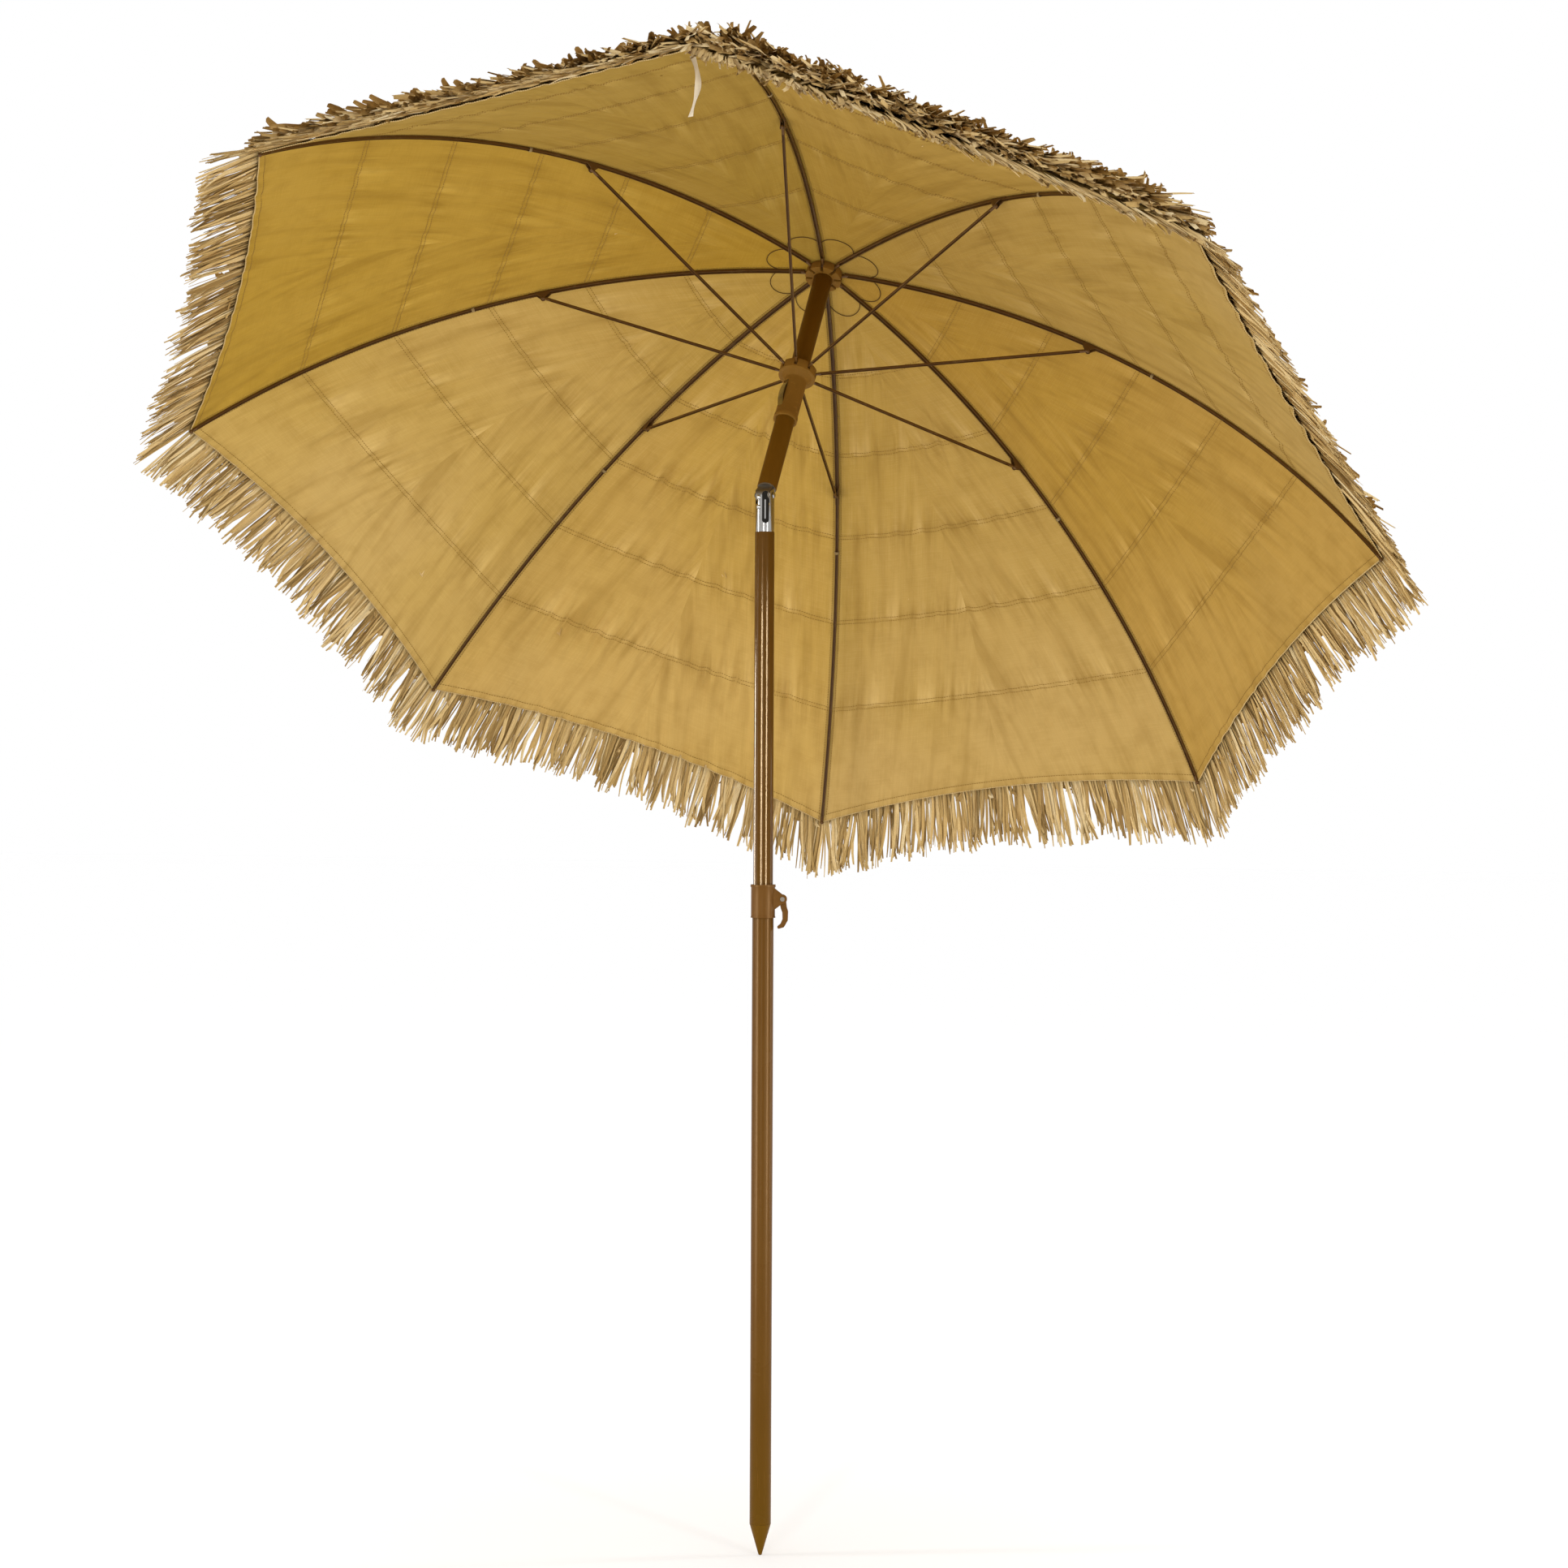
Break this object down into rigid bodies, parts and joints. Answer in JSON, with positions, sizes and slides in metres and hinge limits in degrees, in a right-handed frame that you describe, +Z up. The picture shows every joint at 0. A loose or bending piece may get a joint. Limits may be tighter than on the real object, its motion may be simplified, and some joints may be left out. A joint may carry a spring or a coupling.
{
  "type": "beach umbrella",
  "caption": "Tilting beach umbrella with a domed fabric canopy under raffia thatch, a telescoping pole with a lever clamp and a pointed end for sand.",
  "frame": {"origin": "axis of the lower tube, at the shoulder where the ground spike begins", "axes": "+Z up the lower tube; the canopy leans towards +Y; the tilt hinge runs along X"},
  "size_m": [1.8414, 1.5266, 2.0422],
  "materials": {
    "lower_pole_paint": "gloss brown enamel",
    "spike": "smooth moulded plastic",
    "clamp_plastic": "satin moulded plastic",
    "mid_pole_paint": "high gloss dark brown enamel",
    "upper_pole_paint": "satin dark brown enamel",
    "joint_chrome": "bright plated steel",
    "zinc_steel": "zinc plated",
    "rib_steel": "dark brown baked enamel",
    "hub_plastic": "moulded plastic",
    "pad_brass": "plain",
    "bush_plastic": "moulded plastic",
    "canopy_fabric": "woven polyester",
    "raffia": "dry palm fibre",
    "ribbon": "woven tape"
  },
  "bodies": {
    "lower_pole": {"ground_spike": "spike", "lower_tube": "lower_pole_paint", "clamp_collar": "clamp_plastic", "clamp_pad": "pad_brass", "lever_pin": "zinc_steel"},
    "clamp_lever": {"clamp_lever": "clamp_plastic"},
    "mid_pole": {"mid_tube": "mid_pole_paint", "mid_bush": "bush_plastic", "tilt_socket": "joint_chrome", "tilt_pin": "joint_chrome", "tilt_rivets": "joint_chrome"},
    "upper_pole": {"tilt_knuckle": "zinc_steel", "upper_tube": "upper_pole_paint", "hub_crown": "hub_plastic", "hub_pins": "zinc_steel", "top_cap": "clamp_plastic"},
    "runner": {"runner": "hub_plastic", "runner_pins": "zinc_steel", "runner_catch": "joint_chrome"},
    "rib_1": {"rib_1": "rib_steel", "rib_fittings_1": "rib_steel", "canopy_1": "canopy_fabric", "thatch_1": "raffia"},
    "stretcher_1": {"stretcher_1": "rib_steel"},
    "rib_2": {"rib_2": "rib_steel", "rib_fittings_2": "rib_steel", "canopy_2": "canopy_fabric", "thatch_2": "raffia"},
    "stretcher_2": {"stretcher_2": "rib_steel"},
    "rib_3": {"rib_3": "rib_steel", "rib_fittings_3": "rib_steel", "canopy_3": "canopy_fabric", "thatch_3": "raffia"},
    "stretcher_3": {"stretcher_3": "rib_steel"},
    "rib_4": {"rib_4": "rib_steel", "rib_fittings_4": "rib_steel", "canopy_4": "canopy_fabric", "thatch_4": "raffia"},
    "stretcher_4": {"stretcher_4": "rib_steel"},
    "rib_5": {"rib_5": "rib_steel", "rib_fittings_5": "rib_steel", "canopy_5": "canopy_fabric", "thatch_5": "raffia"},
    "stretcher_5": {"stretcher_5": "rib_steel"},
    "rib_6": {"rib_6": "rib_steel", "rib_fittings_6": "rib_steel", "canopy_6": "canopy_fabric", "thatch_6": "raffia"},
    "stretcher_6": {"stretcher_6": "rib_steel"},
    "rib_7": {"rib_7": "rib_steel", "rib_fittings_7": "rib_steel", "canopy_7": "canopy_fabric", "thatch_7": "raffia", "tie_ribbon": "ribbon"},
    "stretcher_7": {"stretcher_7": "rib_steel"},
    "rib_8": {"rib_8": "rib_steel", "rib_fittings_8": "rib_steel", "canopy_8": "canopy_fabric", "thatch_8": "raffia"},
    "stretcher_8": {"stretcher_8": "rib_steel"}
  },
  "joints": [
    {"name": "pole_slide", "type": "slide", "parent": "lower_pole", "child": "mid_pole", "axis": [0, 0, 1], "range_m": [-0.48, 0.17]},
    {"name": "clamp_lever_hinge", "type": "hinge", "parent": "lower_pole", "child": "clamp_lever", "pos_m": [0.02559, 0.01008, 0.8854], "axis": [0.3665, -0.9304, 0], "range_deg": [0, 95]},
    {"name": "tilt_hinge", "type": "hinge", "parent": "mid_pole", "child": "upper_pole", "pos_m": [0, 0, 1.458], "axis": [1, 0, 0], "range_deg": [0, 34]},
    {"name": "runner_slide", "type": "slide", "parent": "upper_pole", "child": "runner", "axis": [0, -0.5592, -0.829], "range_m": [0, 0.12], "deforming": ["canopy_1", "canopy_2", "canopy_3", "canopy_4", "canopy_5", "canopy_6", "canopy_7", "canopy_8", "thatch_1", "thatch_2", "thatch_3", "thatch_4", "thatch_5", "thatch_6", "thatch_7", "thatch_8"]},
    {"name": "rib_hinge_1", "type": "hinge", "parent": "upper_pole", "child": "rib_1", "pos_m": [0.01956, 0.23551, 1.79973], "axis": [-0.2079, 0.8109, -0.547], "range_deg": [0, 9.1]},
    {"name": "stretcher_hinge_1", "type": "hinge", "parent": "rib_1", "child": "stretcher_1", "pos_m": [0.40104, 0.24989, 1.67604], "axis": [-0.2079, 0.8109, -0.547], "range_deg": [-18.2, 0]},
    {"name": "rib_hinge_2", "type": "hinge", "parent": "upper_pole", "child": "rib_2", "pos_m": [0.01089, 0.24597, 1.79267], "axis": [-0.8387, 0.4515, -0.3046], "range_deg": [0, 9.1]},
    {"name": "stretcher_hinge_2", "type": "hinge", "parent": "rib_2", "child": "stretcher_2", "pos_m": [0.2233, 0.46429, 1.53143], "axis": [-0.8387, 0.4515, -0.3046], "range_deg": [-18.2, 0]},
    {"name": "rib_hinge_3", "type": "hinge", "parent": "upper_pole", "child": "rib_3", "pos_m": [-0.00416, 0.24828, 1.79111], "axis": [-0.9781, -0.1724, 0.1163], "range_deg": [0, 9.1]},
    {"name": "stretcher_hinge_3", "type": "hinge", "parent": "rib_3", "child": "stretcher_3", "pos_m": [-0.08524, 0.5117, 1.49945], "axis": [-0.9781, -0.1724, 0.1163], "range_deg": [-18.2, 0]},
    {"name": "rib_hinge_4", "type": "hinge", "parent": "upper_pole", "child": "rib_4", "pos_m": [-0.01677, 0.2411, 1.79596], "axis": [-0.5446, -0.6953, 0.469], "range_deg": [0, 9.1]},
    {"name": "stretcher_hinge_4", "type": "hinge", "parent": "rib_4", "child": "stretcher_4", "pos_m": [-0.34386, 0.36435, 1.59884], "axis": [-0.5446, -0.6953, 0.469], "range_deg": [-18.2, 0]},
    {"name": "rib_hinge_5", "type": "hinge", "parent": "upper_pole", "child": "rib_5", "pos_m": [-0.01956, 0.22862, 1.80438], "axis": [0.2079, -0.8109, 0.547], "range_deg": [0, 9.1]},
    {"name": "stretcher_hinge_5", "type": "hinge", "parent": "rib_5", "child": "stretcher_5", "pos_m": [-0.40104, 0.10855, 1.77137], "axis": [0.2079, -0.8109, 0.547], "range_deg": [-18.2, 0]},
    {"name": "rib_hinge_6", "type": "hinge", "parent": "upper_pole", "child": "rib_6", "pos_m": [-0.01089, 0.21816, 1.81143], "axis": [0.8387, -0.4515, 0.3046], "range_deg": [0, 9.1]},
    {"name": "stretcher_hinge_6", "type": "hinge", "parent": "rib_6", "child": "stretcher_6", "pos_m": [-0.2233, -0.10585, 1.91599], "axis": [0.8387, -0.4515, 0.3046], "range_deg": [-18.2, 0]},
    {"name": "rib_hinge_7", "type": "hinge", "parent": "upper_pole", "child": "rib_7", "pos_m": [0.00416, 0.21585, 1.81299], "axis": [0.9781, 0.1724, -0.1163], "range_deg": [0, 9.1]},
    {"name": "stretcher_hinge_7", "type": "hinge", "parent": "rib_7", "child": "stretcher_7", "pos_m": [0.08524, -0.15326, 1.94797], "axis": [0.9781, 0.1724, -0.1163], "range_deg": [-18.2, 0]},
    {"name": "rib_hinge_8", "type": "hinge", "parent": "upper_pole", "child": "rib_8", "pos_m": [0.01677, 0.22304, 1.80814], "axis": [0.5446, 0.6953, -0.469], "range_deg": [0, 9.1]},
    {"name": "stretcher_hinge_8", "type": "hinge", "parent": "rib_8", "child": "stretcher_8", "pos_m": [0.34386, -0.0059, 1.84858], "axis": [0.5446, 0.6953, -0.469], "range_deg": [-18.2, 0]}
  ],
  "couplings": [
    {"joint": "rib_hinge_1", "follows": "runner_slide", "rad_per_m": 1.3125},
    {"joint": "stretcher_hinge_1", "follows": "runner_slide", "rad_per_m": -2.6249},
    {"joint": "rib_hinge_2", "follows": "runner_slide", "rad_per_m": 1.3125},
    {"joint": "stretcher_hinge_2", "follows": "runner_slide", "rad_per_m": -2.6249},
    {"joint": "rib_hinge_3", "follows": "runner_slide", "rad_per_m": 1.3125},
    {"joint": "stretcher_hinge_3", "follows": "runner_slide", "rad_per_m": -2.6249},
    {"joint": "rib_hinge_4", "follows": "runner_slide", "rad_per_m": 1.3125},
    {"joint": "stretcher_hinge_4", "follows": "runner_slide", "rad_per_m": -2.6249},
    {"joint": "rib_hinge_5", "follows": "runner_slide", "rad_per_m": 1.3125},
    {"joint": "stretcher_hinge_5", "follows": "runner_slide", "rad_per_m": -2.6249},
    {"joint": "rib_hinge_6", "follows": "runner_slide", "rad_per_m": 1.3125},
    {"joint": "stretcher_hinge_6", "follows": "runner_slide", "rad_per_m": -2.6249},
    {"joint": "rib_hinge_7", "follows": "runner_slide", "rad_per_m": 1.3125},
    {"joint": "stretcher_hinge_7", "follows": "runner_slide", "rad_per_m": -2.6249},
    {"joint": "rib_hinge_8", "follows": "runner_slide", "rad_per_m": 1.3125},
    {"joint": "stretcher_hinge_8", "follows": "runner_slide", "rad_per_m": -2.6249}
  ]
}
